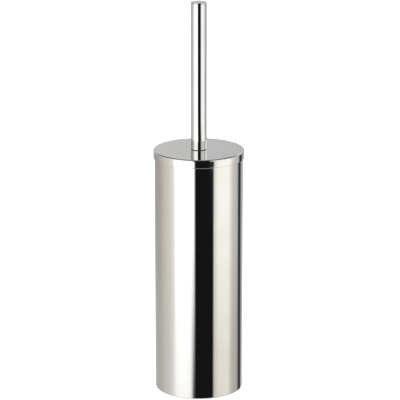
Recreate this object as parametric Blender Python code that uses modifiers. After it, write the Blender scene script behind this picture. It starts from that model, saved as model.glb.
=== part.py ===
"""Free-standing toilet brush holder: polished steel tube, lift-out liner, lid with brush.

Run with: blender --background --python part.py
Metres, +Z up. The origin is the centre of the foot ring's underside, and every
round piece is turned about the Z axis.
"""
import math

import bmesh
import bpy

MM = 0.001

# ---- driving dimensions -------------------------------------------------------
OVERALL_HEIGHT = 405 * MM          # floor to the top of the handle
LID_TOP_Z = 254 * MM
SHELL_RADIUS = 45 * MM
LID_RADIUS = 46.2 * MM
LID_SKIRT_HEIGHT = 8.7 * MM
HANDLE_RADIUS = 8 * MM
STEM_RADIUS = 6 * MM
BRISTLE_RADIUS = 36 * MM
BRISTLE_BOTTOM_Z = 23 * MM
STUD_RADIUS = 3 * MM               # M6 rod through the lid
HEAD_THREAD_RADIUS = 4 * MM        # M8 x 1.5 stub that carries the brush head
HEAD_THREAD_LENGTH = 12 * MM
HEAD_SOCKET_DEPTH = 15 * MM

# ---- common allowances --------------------------------------------------------
GAP = 0.3 * MM                     # between pieces that rest on each other
BORE_CLEARANCE = 0.4 * MM          # between a rod and the hole it passes
SHEET = 0.8 * MM                   # steel sheet and tube wall
LID_SHEET = 0.7 * MM
SOCKET_WALL_CLEARANCE = 0.3 * MM   # between a pressed plug and its tube

# ---- mesh fineness ------------------------------------------------------------
WIDE_SIDES = 48                    # pieces as wide as the shell
SLIM_SIDES = 24                    # pieces as wide as the handle
FILLET_STEPS = 3
MERGE = 0.00001
SHARP_ANGLE = math.radians(35)

# ---- foot and base ------------------------------------------------------------
SHELL_BOTTOM_Z = 0.8 * MM          # the foot ring stands this far proud
SHELL_LIP_RADIUS = 41.5 * MM       # inner edge of the lip turned in at the bottom
SHELL_EDGE_FILLET = 1.2 * MM
SHELL_INNER_RADIUS = SHELL_RADIUS - SHEET
FOOT_OUTER_RADIUS = SHELL_LIP_RADIUS - GAP
FOOT_INNER_RADIUS = 30 * MM
PLATE_BOTTOM_Z = SHELL_BOTTOM_Z + SHEET + GAP
PLATE_THICKNESS = 0.7 * MM
PLATE_RADIUS = SHELL_INNER_RADIUS - GAP
PLATE_RIM_HEIGHT = 6 * MM
FOOT_TOP_Z = PLATE_BOTTOM_Z - GAP

# ---- lid stack, from the top down ---------------------------------------------
LID_FILLET = 1.2 * MM
LID_INNER_RADIUS = LID_RADIUS - LID_SHEET
LID_BOTTOM_Z = LID_TOP_Z - LID_SKIRT_HEIGHT
LID_HEM_RADIUS = SHELL_RADIUS + 0.35 * MM
LID_HEM_HEIGHT = 1.6 * MM
LID_UNDERSIDE_Z = LID_TOP_Z - LID_SHEET
INSERT_TOP_Z = LID_UNDERSIDE_Z - GAP
INSERT_FLANGE_RADIUS = LID_INNER_RADIUS - GAP
INSERT_FLANGE_THICKNESS = 2.1 * MM
INSERT_UNDERSIDE_Z = INSERT_TOP_Z - INSERT_FLANGE_THICKNESS
COLLAR_RADIUS = 41.6 * MM          # centres the lid in the liner's mouth
COLLAR_WALL = 1.5 * MM
COLLAR_BOTTOM_Z = LID_TOP_Z - 14 * MM
HUB_RADIUS = 8.5 * MM
HUB_BOTTOM_Z = LID_TOP_Z - 12 * MM
INSERT_RIBS = 6
INSERT_RIB_THICKNESS = 1.4 * MM
INSERT_RIB_BOTTOM_Z = LID_TOP_Z - 9 * MM
BUFFER_TOP_Z = INSERT_UNDERSIDE_Z - GAP
BUFFER_THICKNESS = 1.2 * MM
BUFFER_BOTTOM_Z = BUFFER_TOP_Z - BUFFER_THICKNESS
BUFFER_INNER_RADIUS = COLLAR_RADIUS + 0.5 * MM
BUFFER_OUTER_RADIUS = SHELL_RADIUS - 0.1 * MM
LINER_TOP_Z = BUFFER_BOTTOM_Z - GAP
LINER_FLANGE_THICKNESS = 1.2 * MM
LINER_FLANGE_BOTTOM_Z = LINER_TOP_Z - LINER_FLANGE_THICKNESS
SHELL_TOP_Z = LINER_FLANGE_BOTTOM_Z - GAP

# ---- liner --------------------------------------------------------------------
LINER_WALL = 1.4 * MM
LINER_TOP_RADIUS = SHELL_INNER_RADIUS - 0.5 * MM
LINER_DRAFT = 1.3 * MM             # how much the radius falls from mouth to floor
LINER_FLOOR_RADIUS = LINER_TOP_RADIUS - LINER_DRAFT
LINER_BOTTOM_Z = PLATE_BOTTOM_Z + PLATE_THICKNESS + GAP
LINER_FLOOR_THICKNESS = 1.6 * MM
LINER_FLOOR_FILLET = 4 * MM
LINER_MOUTH_CHAMFER = 0.4 * MM

# ---- handle -------------------------------------------------------------------
GASKET_BOTTOM_Z = LID_TOP_Z + GAP
GASKET_THICKNESS = 0.5 * MM
GASKET_RADIUS = HANDLE_RADIUS - 0.1 * MM
HANDLE_BOTTOM_Z = GASKET_BOTTOM_Z + GASKET_THICKNESS + GAP
CAP_THICKNESS = 0.7 * MM
CAP_FILLET = 0.5 * MM
CAP_PLUG_DEPTH = 6 * MM
HANDLE_TOP_Z = OVERALL_HEIGHT - CAP_THICKNESS - GAP
HANDLE_PLUG_RADIUS = HANDLE_RADIUS - SHEET - SOCKET_WALL_CLEARANCE
HANDLE_PLUG_LENGTH = 16 * MM
STUD_BORE_RADIUS = STUD_RADIUS + BORE_CLEARANCE
STUD_CHAMFER = 0.6 * MM
STUD_TOP_Z = HANDLE_BOTTOM_Z + 15 * MM
STUD_BOTTOM_Z = LID_TOP_Z - 33.5 * MM

# ---- washer, nut and stem -----------------------------------------------------
WASHER_RADIUS = 9 * MM
WASHER_THICKNESS = 1 * MM
WASHER_TOP_Z = HUB_BOTTOM_Z - GAP
NUT_ACROSS_FLATS = 10 * MM
NUT_HEIGHT = 5 * MM
NUT_CHAMFER = 0.5 * MM
NUT_TOP_Z = WASHER_TOP_Z - WASHER_THICKNESS - GAP
NUT_BOTTOM_Z = NUT_TOP_Z - NUT_HEIGHT
BUSH_FLANGE = 1.5 * MM
BUSH_PLUG_LENGTH = 15 * MM
BUSH_PLUG_RADIUS = STEM_RADIUS - SHEET - SOCKET_WALL_CLEARANCE
BUSH_TOP_Z = NUT_BOTTOM_Z - GAP
STEM_TOP_Z = BUSH_TOP_Z - BUSH_FLANGE - GAP
STEM_BOTTOM_Z = 125 * MM

# ---- brush head ---------------------------------------------------------------
SHOULDER_TOP_Z = STEM_BOTTOM_Z - GAP
SHOULDER_Z = SHOULDER_TOP_Z - BUSH_FLANGE      # where the head's thread begins
HEAD_WASHER_TOP_Z = SHOULDER_Z - GAP
HEAD_WASHER_THICKNESS = 0.8 * MM
HEAD_WASHER_RADIUS = 6.6 * MM
HEAD_BORE_RADIUS = HEAD_THREAD_RADIUS + 0.35 * MM
CORE_TOP_Z = HEAD_WASHER_TOP_Z - HEAD_WASHER_THICKNESS - GAP
CORE_RADIUS = 12 * MM
CORE_NECK_RADIUS = 8 * MM
CORE_NECK_LENGTH = 7 * MM
CORE_SHOULDER_LENGTH = 6 * MM
CORE_BOTTOM_Z = BRISTLE_BOTTOM_Z + 15 * MM
CORE_CHAMFER = 1.5 * MM
SIDE_BRISTLE_TOP_Z = CORE_TOP_Z - CORE_NECK_LENGTH - CORE_SHOULDER_LENGTH - 1 * MM
SIDE_BRISTLE_FILLET = 7 * MM
END_BRISTLE_TOP_Z = CORE_BOTTOM_Z - 0.4 * MM
END_BRISTLE_FILLET = 13 * MM
END_BRISTLE_TOP_RADIUS = BRISTLE_RADIUS - 1 * MM

# ---- colours ------------------------------------------------------------------
POLISHED_STEEL = ("polished_steel", (0.78, 0.77, 0.75), 0.08, 1.0)
PLAIN_STEEL = ("plain_steel", (0.62, 0.61, 0.60), 0.28, 1.0)
BLACK_PLASTIC = ("black_plastic", (0.022, 0.022, 0.024), 0.45, 0.0)
BLACK_RUBBER = ("black_rubber", (0.018, 0.018, 0.018), 0.75, 0.0)
WHITE_PLASTIC = ("white_plastic", (0.82, 0.82, 0.80), 0.40, 0.0)
WHITE_BRISTLE = ("white_bristle", (0.86, 0.86, 0.84), 0.55, 0.0)


def clear_objects():
    for obj in list(bpy.data.objects):
        bpy.data.objects.remove(obj)


def new_collection(name):
    collection = bpy.data.collections.new(name)
    bpy.context.scene.collection.children.link(collection)
    return collection


def new_material(name, colour, roughness, metallic):
    material = bpy.data.materials.get(name)
    if material:
        return material
    material = bpy.data.materials.new(name)
    material.use_nodes = True
    shader = material.node_tree.nodes["Principled BSDF"]
    shader.inputs["Base Color"].default_value = (*colour, 1.0)
    shader.inputs["Roughness"].default_value = roughness
    shader.inputs["Metallic"].default_value = metallic
    return material


def arc(centre_r, centre_z, radius, start, end, steps=FILLET_STEPS):
    """Points of an arc in the (r, z) plane; degrees from +r towards +z."""
    points = []
    for i in range(steps + 1):
        angle = math.radians(start + (end - start) * i / steps)
        points.append((centre_r + radius * math.cos(angle), centre_z + radius * math.sin(angle)))
    return points


def settle(obj):
    """Replace an object's modifiers by the mesh they make, shaded smooth."""
    depsgraph = bpy.context.evaluated_depsgraph_get()
    mesh = bpy.data.meshes.new_from_object(obj.evaluated_get(depsgraph))
    obj.modifiers.clear()
    obj.data = mesh
    mesh.name = obj.name
    mesh.shade_smooth()
    mesh.set_sharp_from_angle(angle=SHARP_ANGLE)


def turned(name, profile, sides, look, collection, parent=None):
    """Turn a profile of (r, z) points about Z.

    It runs down its outer side. Ends that lie on the axis stay open there and are
    merged; otherwise the profile is closed into a ring.
    """
    count = len(profile)
    on_axis = profile[0][0] == 0 and profile[-1][0] == 0
    edges = [(i, i + 1) for i in range(count - 1)]
    if not on_axis:
        edges.append((count - 1, 0))
    mesh = bpy.data.meshes.new(name)
    mesh.from_pydata([(r, 0, z) for r, z in profile], edges, [])
    mesh.materials.append(new_material(*look))
    obj = bpy.data.objects.new(name, mesh)
    collection.objects.link(obj)
    obj.parent = parent
    screw = obj.modifiers.new("Turn", "SCREW")
    screw.axis = "Z"
    screw.steps = sides
    screw.render_steps = sides
    screw.use_merge_vertices = True
    screw.merge_threshold = MERGE
    settle(obj)
    return obj


def ring(name, inner, outer, bottom, top, sides, look, collection, parent, chamfer=0.0):
    """A flat ring with optional chamfers on its outer edges."""
    edge = [(outer, top), (outer, bottom)]
    if chamfer:
        edge = [
            (outer - chamfer, top),
            (outer, top - chamfer),
            (outer, bottom + chamfer),
            (outer - chamfer, bottom),
        ]
    return turned(name, [(inner, top), *edge, (inner, bottom)], sides, look, collection, parent)


def combine(obj, tools, operation):
    """Cut obj with the tools, or join them to it, and drop the tools."""
    for tool in tools:
        boolean = obj.modifiers.new(operation.title(), "BOOLEAN")
        boolean.operation = operation
        boolean.solver = "EXACT"
        boolean.object = tool
    settle(obj)
    for tool in tools:
        bpy.data.objects.remove(tool)


def body_frame(name, collection, parent=None):
    """An empty at the origin, on every joint's axis, that a moving body hangs from."""
    empty = bpy.data.objects.new(name, None)
    empty.empty_display_size = 20 * MM
    collection.objects.link(empty)
    empty.parent = parent
    return empty


# ---- holder -------------------------------------------------------------------
def build_holder_shell(collection):
    rim = SHEET / 2
    rim_centre = SHELL_RADIUS - rim
    corner_r = SHELL_RADIUS - SHELL_EDGE_FILLET
    corner_z = SHELL_BOTTOM_Z + SHELL_EDGE_FILLET
    profile = arc(rim_centre, SHELL_TOP_Z - rim, rim, 180, 0, 4)
    profile += arc(corner_r, corner_z, SHELL_EDGE_FILLET, 0, -90)
    profile += [(SHELL_LIP_RADIUS, SHELL_BOTTOM_Z), (SHELL_LIP_RADIUS, SHELL_BOTTOM_Z + SHEET)]
    profile += arc(corner_r, corner_z, SHELL_EDGE_FILLET - SHEET, -90, 0, 2)
    turned("holder_shell", profile, WIDE_SIDES, POLISHED_STEEL, collection)


def build_base_plate(collection):
    top = PLATE_BOTTOM_Z + PLATE_THICKNESS
    rim_top = PLATE_BOTTOM_Z + PLATE_RIM_HEIGHT
    fillet = 1.2 * MM
    inner = PLATE_RADIUS - PLATE_THICKNESS
    profile = [(0, top)]
    profile += arc(PLATE_RADIUS - fillet, PLATE_BOTTOM_Z + fillet, fillet - PLATE_THICKNESS, -90, 0, 2)
    profile += [(inner, rim_top), (PLATE_RADIUS, rim_top)]
    profile += arc(PLATE_RADIUS - fillet, PLATE_BOTTOM_Z + fillet, fillet, 0, -90)
    profile += [(0, PLATE_BOTTOM_Z)]
    turned("base_plate", profile, WIDE_SIDES, PLAIN_STEEL, collection)


def build_foot_ring(collection):
    ring("foot_ring", FOOT_INNER_RADIUS, FOOT_OUTER_RADIUS, 0, FOOT_TOP_Z, WIDE_SIDES,
         BLACK_RUBBER, collection, None, chamfer=0.4 * MM)


# ---- liner --------------------------------------------------------------------
def build_inner_liner(collection, parent):
    floor_z = LINER_BOTTOM_Z + LINER_FLOOR_THICKNESS
    floor_r = LINER_FLOOR_RADIUS - LINER_WALL
    mouth_r = LINER_TOP_RADIUS - LINER_WALL
    outer_fillet = LINER_FLOOR_FILLET + LINER_WALL
    profile = [(0, floor_z)]
    profile += arc(floor_r - LINER_FLOOR_FILLET, floor_z + LINER_FLOOR_FILLET, LINER_FLOOR_FILLET, -90, 0)
    profile += [(mouth_r, LINER_TOP_Z - LINER_MOUTH_CHAMFER)]
    profile += [(mouth_r + LINER_MOUTH_CHAMFER, LINER_TOP_Z)]
    profile += [(SHELL_RADIUS, LINER_TOP_Z), (SHELL_RADIUS, LINER_FLANGE_BOTTOM_Z)]
    profile += [(LINER_TOP_RADIUS, LINER_FLANGE_BOTTOM_Z)]
    profile += arc(LINER_FLOOR_RADIUS - outer_fillet, LINER_BOTTOM_Z + outer_fillet, outer_fillet, 0, -90)
    profile += [(0, LINER_BOTTOM_Z)]
    turned("inner_liner", profile, WIDE_SIDES, BLACK_PLASTIC, collection, parent)


def build_buffer_ring(collection, parent):
    ring("lid_buffer_ring", BUFFER_INNER_RADIUS, BUFFER_OUTER_RADIUS, BUFFER_BOTTOM_Z, BUFFER_TOP_Z,
         WIDE_SIDES, BLACK_RUBBER, collection, parent, chamfer=0.3 * MM)


# ---- lid ----------------------------------------------------------------------
def build_lid(collection, parent):
    hole = STUD_RADIUS + 0.5 * MM
    hem_half = (LID_RADIUS - LID_HEM_RADIUS) / 2
    hem_centre_r = LID_RADIUS - hem_half
    hem_centre_z = LID_BOTTOM_Z + hem_half
    corner_r = LID_RADIUS - LID_FILLET
    corner_z = LID_TOP_Z - LID_FILLET
    profile = [(hole, LID_TOP_Z)]
    profile += arc(corner_r, corner_z, LID_FILLET, 90, 0, 4)
    profile += arc(hem_centre_r, hem_centre_z, hem_half, 0, -180, 4)
    profile += [(LID_HEM_RADIUS, LID_BOTTOM_Z + LID_HEM_HEIGHT)]
    profile += [(LID_INNER_RADIUS, LID_BOTTOM_Z + LID_HEM_HEIGHT + hem_half)]
    profile += arc(corner_r, corner_z, LID_FILLET - LID_SHEET, 0, 90, 2)
    profile += [(hole, LID_UNDERSIDE_Z)]
    turned("lid", profile, WIDE_SIDES, POLISHED_STEEL, collection, parent)


def build_lid_insert(collection, cutters, parent):
    collar_inner = COLLAR_RADIUS - COLLAR_WALL
    chamfer = 0.6 * MM
    profile = [
        (STUD_BORE_RADIUS, INSERT_TOP_Z),
        (INSERT_FLANGE_RADIUS, INSERT_TOP_Z),
        (INSERT_FLANGE_RADIUS, INSERT_UNDERSIDE_Z),
        (COLLAR_RADIUS, INSERT_UNDERSIDE_Z),
        (COLLAR_RADIUS, COLLAR_BOTTOM_Z + chamfer),
        (COLLAR_RADIUS - chamfer, COLLAR_BOTTOM_Z),
        (collar_inner, COLLAR_BOTTOM_Z),
        (collar_inner, INSERT_UNDERSIDE_Z),
        (HUB_RADIUS, INSERT_UNDERSIDE_Z),
        (HUB_RADIUS, HUB_BOTTOM_Z),
        (STUD_BORE_RADIUS, HUB_BOTTOM_Z),
    ]
    insert = turned("lid_insert", profile, WIDE_SIDES, BLACK_PLASTIC, collection, parent)
    overlap = 0.5 * MM
    length = collar_inner - HUB_RADIUS + 2 * overlap
    height = INSERT_UNDERSIDE_Z - INSERT_RIB_BOTTOM_Z + overlap
    middle_r = (collar_inner + HUB_RADIUS) / 2
    ribs = []
    for i in range(INSERT_RIBS):
        mesh = bpy.data.meshes.new("rib")
        shape = bmesh.new()
        bmesh.ops.create_cube(shape, size=1)
        bmesh.ops.scale(shape, vec=(length, INSERT_RIB_THICKNESS, height), verts=shape.verts)
        shape.to_mesh(mesh)
        shape.free()
        rib = bpy.data.objects.new("rib", mesh)
        cutters.objects.link(rib)
        angle = 2 * math.pi * (i + 0.5) / INSERT_RIBS
        rib.location = (middle_r * math.cos(angle), middle_r * math.sin(angle),
                        INSERT_RIB_BOTTOM_Z + height / 2)
        rib.rotation_euler = (0, 0, angle)
        ribs.append(rib)
    combine(insert, ribs, "UNION")


def build_lid_washer(collection, parent):
    ring("lid_washer", STUD_BORE_RADIUS, WASHER_RADIUS, WASHER_TOP_Z - WASHER_THICKNESS, WASHER_TOP_Z,
         SLIM_SIDES, PLAIN_STEEL, collection, parent)


def build_lid_nut(collection, cutters, parent):
    """Hexagon whose corners are chamfered by a turned barrel with the bore in it."""
    corner_radius = NUT_ACROSS_FLATS / 2 / math.cos(math.pi / 6)
    mesh = bpy.data.meshes.new("lid_nut")
    shape = bmesh.new()
    bmesh.ops.create_cone(shape, cap_ends=True, segments=6, radius1=corner_radius,
                          radius2=corner_radius, depth=NUT_HEIGHT)
    bmesh.ops.translate(shape, vec=(0, 0, NUT_BOTTOM_Z + NUT_HEIGHT / 2), verts=shape.verts)
    shape.to_mesh(mesh)
    shape.free()
    mesh.materials.append(new_material(*PLAIN_STEEL))
    nut = bpy.data.objects.new("lid_nut", mesh)
    collection.objects.link(nut)
    nut.parent = parent
    inside = 0.1 * MM
    face_radius = NUT_ACROSS_FLATS / 2 - inside
    barrel_radius = corner_radius + 2 * inside
    barrel = turned("nut_barrel", [
        (STUD_BORE_RADIUS, NUT_TOP_Z + inside),
        (face_radius, NUT_TOP_Z + inside),
        (barrel_radius, NUT_TOP_Z - NUT_CHAMFER),
        (barrel_radius, NUT_BOTTOM_Z + NUT_CHAMFER),
        (face_radius, NUT_BOTTOM_Z - inside),
        (STUD_BORE_RADIUS, NUT_BOTTOM_Z - inside),
    ], SLIM_SIDES, PLAIN_STEEL, cutters)
    combine(nut, [barrel], "INTERSECT")


# ---- handle -------------------------------------------------------------------
def build_handle_gasket(collection, parent):
    ring("handle_gasket", STUD_BORE_RADIUS, GASKET_RADIUS, GASKET_BOTTOM_Z,
         GASKET_BOTTOM_Z + GASKET_THICKNESS, SLIM_SIDES, BLACK_RUBBER, collection, parent)


def build_handle_tube(collection, parent):
    ring("handle_tube", HANDLE_RADIUS - SHEET, HANDLE_RADIUS, HANDLE_BOTTOM_Z, HANDLE_TOP_Z,
         SLIM_SIDES, POLISHED_STEEL, collection, parent, chamfer=0.15 * MM)


def build_handle_end_cap(collection, parent):
    under = OVERALL_HEIGHT - CAP_THICKNESS
    plug_bottom = under - CAP_PLUG_DEPTH
    plug_inner = HANDLE_PLUG_RADIUS - SHEET
    profile = [(0, OVERALL_HEIGHT)]
    profile += arc(HANDLE_RADIUS - CAP_FILLET, OVERALL_HEIGHT - CAP_FILLET, CAP_FILLET, 90, 0)
    profile += [
        (HANDLE_RADIUS, under),
        (HANDLE_PLUG_RADIUS, under),
        (HANDLE_PLUG_RADIUS, plug_bottom),
        (plug_inner, plug_bottom),
        (plug_inner, under),
        (0, under),
    ]
    turned("handle_end_cap", profile, SLIM_SIDES, POLISHED_STEEL, collection, parent)


def build_handle_insert(collection, parent):
    ring("handle_insert", STUD_BORE_RADIUS, HANDLE_PLUG_RADIUS, HANDLE_BOTTOM_Z,
         HANDLE_BOTTOM_Z + HANDLE_PLUG_LENGTH, SLIM_SIDES, PLAIN_STEEL, collection, parent,
         chamfer=0.5 * MM)


def build_handle_stud(collection, parent):
    profile = [
        (0, STUD_TOP_Z),
        (STUD_RADIUS - STUD_CHAMFER, STUD_TOP_Z),
        (STUD_RADIUS, STUD_TOP_Z - STUD_CHAMFER),
        (STUD_RADIUS, STUD_BOTTOM_Z + STUD_CHAMFER),
        (STUD_RADIUS - STUD_CHAMFER, STUD_BOTTOM_Z),
        (0, STUD_BOTTOM_Z),
    ]
    turned("handle_stud", profile, SLIM_SIDES, PLAIN_STEEL, collection, parent)


# ---- stem ---------------------------------------------------------------------
def build_stem_tube(collection, parent):
    ring("stem_tube", STEM_RADIUS - SHEET, STEM_RADIUS, STEM_BOTTOM_Z, STEM_TOP_Z, SLIM_SIDES,
         POLISHED_STEEL, collection, parent)


def build_stem_top_bush(collection, parent):
    plug_top = BUSH_TOP_Z - BUSH_FLANGE
    profile = [
        (STUD_BORE_RADIUS, BUSH_TOP_Z),
        (STEM_RADIUS, BUSH_TOP_Z),
        (STEM_RADIUS, plug_top),
        (BUSH_PLUG_RADIUS, plug_top),
        (BUSH_PLUG_RADIUS, plug_top - BUSH_PLUG_LENGTH),
        (STUD_BORE_RADIUS, plug_top - BUSH_PLUG_LENGTH),
    ]
    turned("stem_top_bush", profile, SLIM_SIDES, PLAIN_STEEL, collection, parent)


def build_stem_bottom_bush(collection, parent):
    stub_bottom = SHOULDER_Z - HEAD_THREAD_LENGTH
    profile = [
        (0, SHOULDER_TOP_Z + BUSH_PLUG_LENGTH),
        (BUSH_PLUG_RADIUS, SHOULDER_TOP_Z + BUSH_PLUG_LENGTH),
        (BUSH_PLUG_RADIUS, SHOULDER_TOP_Z),
        (STEM_RADIUS, SHOULDER_TOP_Z),
        (STEM_RADIUS, SHOULDER_Z),
        (HEAD_THREAD_RADIUS, SHOULDER_Z),
        (HEAD_THREAD_RADIUS, stub_bottom + STUD_CHAMFER),
        (HEAD_THREAD_RADIUS - STUD_CHAMFER, stub_bottom),
        (0, stub_bottom),
    ]
    turned("stem_bottom_bush", profile, SLIM_SIDES, PLAIN_STEEL, collection, parent)


# ---- brush head ---------------------------------------------------------------
def build_head_washer(collection, parent):
    ring("head_washer", HEAD_BORE_RADIUS, HEAD_WASHER_RADIUS, HEAD_WASHER_TOP_Z - HEAD_WASHER_THICKNESS,
         HEAD_WASHER_TOP_Z, SLIM_SIDES, BLACK_RUBBER, collection, parent)


def build_head_core(collection, parent):
    neck_bottom = CORE_TOP_Z - CORE_NECK_LENGTH
    profile = [
        (0, CORE_TOP_Z - HEAD_SOCKET_DEPTH),
        (HEAD_BORE_RADIUS, CORE_TOP_Z - HEAD_SOCKET_DEPTH),
        (HEAD_BORE_RADIUS, CORE_TOP_Z),
        (CORE_NECK_RADIUS - CORE_CHAMFER, CORE_TOP_Z),
        (CORE_NECK_RADIUS, CORE_TOP_Z - CORE_CHAMFER),
        (CORE_NECK_RADIUS, neck_bottom),
        (CORE_RADIUS, neck_bottom - CORE_SHOULDER_LENGTH),
        (CORE_RADIUS, CORE_BOTTOM_Z + CORE_CHAMFER),
        (CORE_RADIUS - CORE_CHAMFER, CORE_BOTTOM_Z),
        (0, CORE_BOTTOM_Z),
    ]
    turned("brush_head_core", profile, SLIM_SIDES, WHITE_PLASTIC, collection, parent)


def build_side_bristles(collection, parent):
    inner = CORE_RADIUS + 0.4 * MM
    corner_r = BRISTLE_RADIUS - SIDE_BRISTLE_FILLET
    profile = [(inner, SIDE_BRISTLE_TOP_Z)]
    profile += arc(corner_r, SIDE_BRISTLE_TOP_Z - SIDE_BRISTLE_FILLET, SIDE_BRISTLE_FILLET, 90, 0)
    profile += [(BRISTLE_RADIUS, CORE_BOTTOM_Z), (inner, CORE_BOTTOM_Z)]
    turned("side_bristles", profile, WIDE_SIDES, WHITE_BRISTLE, collection, parent)


def build_end_bristles(collection, parent):
    corner_r = END_BRISTLE_TOP_RADIUS - END_BRISTLE_FILLET
    profile = [(0, END_BRISTLE_TOP_Z), (END_BRISTLE_TOP_RADIUS, END_BRISTLE_TOP_Z)]
    profile += arc(corner_r, BRISTLE_BOTTOM_Z + END_BRISTLE_FILLET, END_BRISTLE_FILLET, 0, -90, 4)
    profile += [(0, BRISTLE_BOTTOM_Z)]
    turned("end_bristles", profile, WIDE_SIDES, WHITE_BRISTLE, collection, parent)


def build_toilet_brush_holder():
    clear_objects()
    parts = new_collection("toilet_brush_holder")
    cutters = new_collection("cutters")

    build_holder_shell(parts)
    build_base_plate(parts)
    build_foot_ring(parts)

    liner = body_frame("liner_frame", parts)
    build_inner_liner(parts, liner)

    buffer_frame = body_frame("buffer_ring_frame", parts, liner)
    build_buffer_ring(parts, buffer_frame)

    brush = body_frame("brush_frame", parts, buffer_frame)
    build_lid(parts, brush)
    build_lid_insert(parts, cutters, brush)
    build_lid_washer(parts, brush)
    build_lid_nut(parts, cutters, brush)
    build_handle_gasket(parts, brush)
    build_handle_tube(parts, brush)
    build_handle_end_cap(parts, brush)
    build_handle_insert(parts, brush)
    build_handle_stud(parts, brush)
    build_stem_tube(parts, brush)
    build_stem_top_bush(parts, brush)
    build_stem_bottom_bush(parts, brush)

    washer = body_frame("washer_frame", parts, brush)
    build_head_washer(parts, washer)

    head = body_frame("brush_head_frame", parts, washer)
    build_head_core(parts, head)
    build_side_bristles(parts, head)
    build_end_bristles(parts, head)


build_toilet_brush_holder()
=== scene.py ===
"""Looks of the toilet brush holder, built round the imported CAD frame.

Every visible piece is turned, threaded or tufted here at full smoothness and
stands for the CAD node of the same shape. Sizes come from the CAD nodes' boxes;
the small rounds, sheet thicknesses and thread depths are named below.
"""
import math
import random

import bmesh
import bpy
from mathutils import Matrix, Vector


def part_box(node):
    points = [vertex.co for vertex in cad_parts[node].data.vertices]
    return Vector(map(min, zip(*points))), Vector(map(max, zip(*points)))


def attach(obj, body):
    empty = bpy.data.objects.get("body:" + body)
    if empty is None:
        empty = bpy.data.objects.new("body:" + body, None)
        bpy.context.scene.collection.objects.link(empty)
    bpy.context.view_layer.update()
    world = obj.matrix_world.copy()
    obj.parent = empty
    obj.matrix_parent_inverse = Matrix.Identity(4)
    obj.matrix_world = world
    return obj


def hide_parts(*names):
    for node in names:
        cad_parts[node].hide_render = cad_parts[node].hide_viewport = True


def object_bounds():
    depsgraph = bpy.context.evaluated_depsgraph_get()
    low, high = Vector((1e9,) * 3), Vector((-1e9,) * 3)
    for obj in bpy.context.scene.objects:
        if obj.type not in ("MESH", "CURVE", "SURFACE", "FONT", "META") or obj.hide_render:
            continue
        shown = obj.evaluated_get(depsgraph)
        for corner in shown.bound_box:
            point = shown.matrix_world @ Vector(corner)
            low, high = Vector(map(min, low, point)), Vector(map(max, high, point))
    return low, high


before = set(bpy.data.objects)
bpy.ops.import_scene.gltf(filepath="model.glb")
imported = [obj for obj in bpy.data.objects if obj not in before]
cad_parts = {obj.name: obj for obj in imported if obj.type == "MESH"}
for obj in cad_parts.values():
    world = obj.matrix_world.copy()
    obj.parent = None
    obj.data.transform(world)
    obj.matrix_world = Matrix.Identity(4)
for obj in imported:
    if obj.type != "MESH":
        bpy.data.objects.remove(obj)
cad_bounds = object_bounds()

MM = 0.001

# ---- mesh fineness ------------------------------------------------------------
WIDE_SEGMENTS = 256                # pieces as wide as the shell
SLIM_SEGMENTS = 96                 # pieces as wide as the handle
ARC_STEPS = 7
BRACE = 0.35 * MM                  # from the end of a straight to its extra ring
SHARP_ANGLE = math.radians(32)
THREAD_ROWS_PER_PITCH = 8
FILAMENT_SIDES = 3
FILAMENT_KNOTS = (0.0, 0.35, 0.7, 1.0)

# ---- sizes that a node's box does not show --------------------------------------
SHEET = 0.8 * MM                   # shell, handle and stem
LID_SHEET = 0.7 * MM
PLATE_SHEET = 0.7 * MM
LINER_WALL = 1.4 * MM
LINER_DRAFT = 1.3 * MM             # how much the radius falls from mouth to floor
STUD_BORE_RADIUS = 3.4 * MM
HEAD_BORE_RADIUS = 4.35 * MM
COLLAR_RADIUS = 41.6 * MM          # plug's collar, which fits the liner's mouth
PLUG_CLEARANCE = 0.3 * MM          # between a pressed plug and its tube
GAP = 0.3 * MM                     # that the CAD keeps between pieces that touch
SEAT = 0.03 * MM                   # left between pieces that are tightened together
GASKET_SQUEEZED = 0.35 * MM
NECK_RADIUS = 8 * MM               # of the brush head, where it is gripped
NECK_LENGTH = 7 * MM
FLUTES = 12
FLUTE_DEPTH = 0.45 * MM

# ---- threads --------------------------------------------------------------------
STUD_PITCH = 1.0 * MM
HEAD_PITCH = 1.5 * MM
THREAD_DEPTH_SHARE = 0.6           # thread depth over pitch
THREAD_CHAMFER = 0.6 * MM
NUT_THREAD_DEPTH = 0.3 * MM

# ---- bristles -------------------------------------------------------------------
FILAMENT_RADIUS = 0.19 * MM
FILAMENTS_PER_TUFT = 26
TUFT_ROOT_RADIUS = 1.15 * MM
TIP_SHORTEST = -1.6 * MM           # a filament's length against its tuft's
TIP_LONGEST = 0.2 * MM
TIP_SCATTER = 0.4 * MM
FILAMENT_BOW = 0.5 * MM
SIDE_ROWS = 11
SIDE_TUFTS_PER_ROW = 15
SIDE_MARGIN = 4 * MM               # from the field's ends to its first and last row
SIDE_FAN = 0.10                    # rise of a tip over its row's distance from the middle
SIDE_SPREAD = 4.6 * MM             # radius of a tuft at its tips
SIDE_CORNER = 7 * MM               # round of the bristle field's upper edge
END_SPREAD = 4.4 * MM
END_CORNER = 13 * MM
# (tufts in the ring, its radius on the core, lean from straight down, height of the tips)
END_RINGS = (
    (1, 0.0, 0, 0.0),
    (6, 4.2 * MM, 24, 0.5 * MM),
    (10, 7.8 * MM, 46, 2.5 * MM),
    (14, 10.6 * MM, 64, 6.5 * MM),
)

# ---- camera, at the photograph's viewing angle ----------------------------------
VIEW_ELEVATION = math.radians(15.74)
VIEW_DISTANCE = 2.307
AIM_HEIGHT = 0.2002
AXIS_OFFSET = 1.2 * MM             # the object stands this far left of the frame's middle
LENS = 203.8
SENSOR_WIDTH = 36.0


def extent(node):
    """Outer radius, lowest and highest level of a round CAD node."""
    low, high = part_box(node)
    return high.x, low.z, high.z


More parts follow.
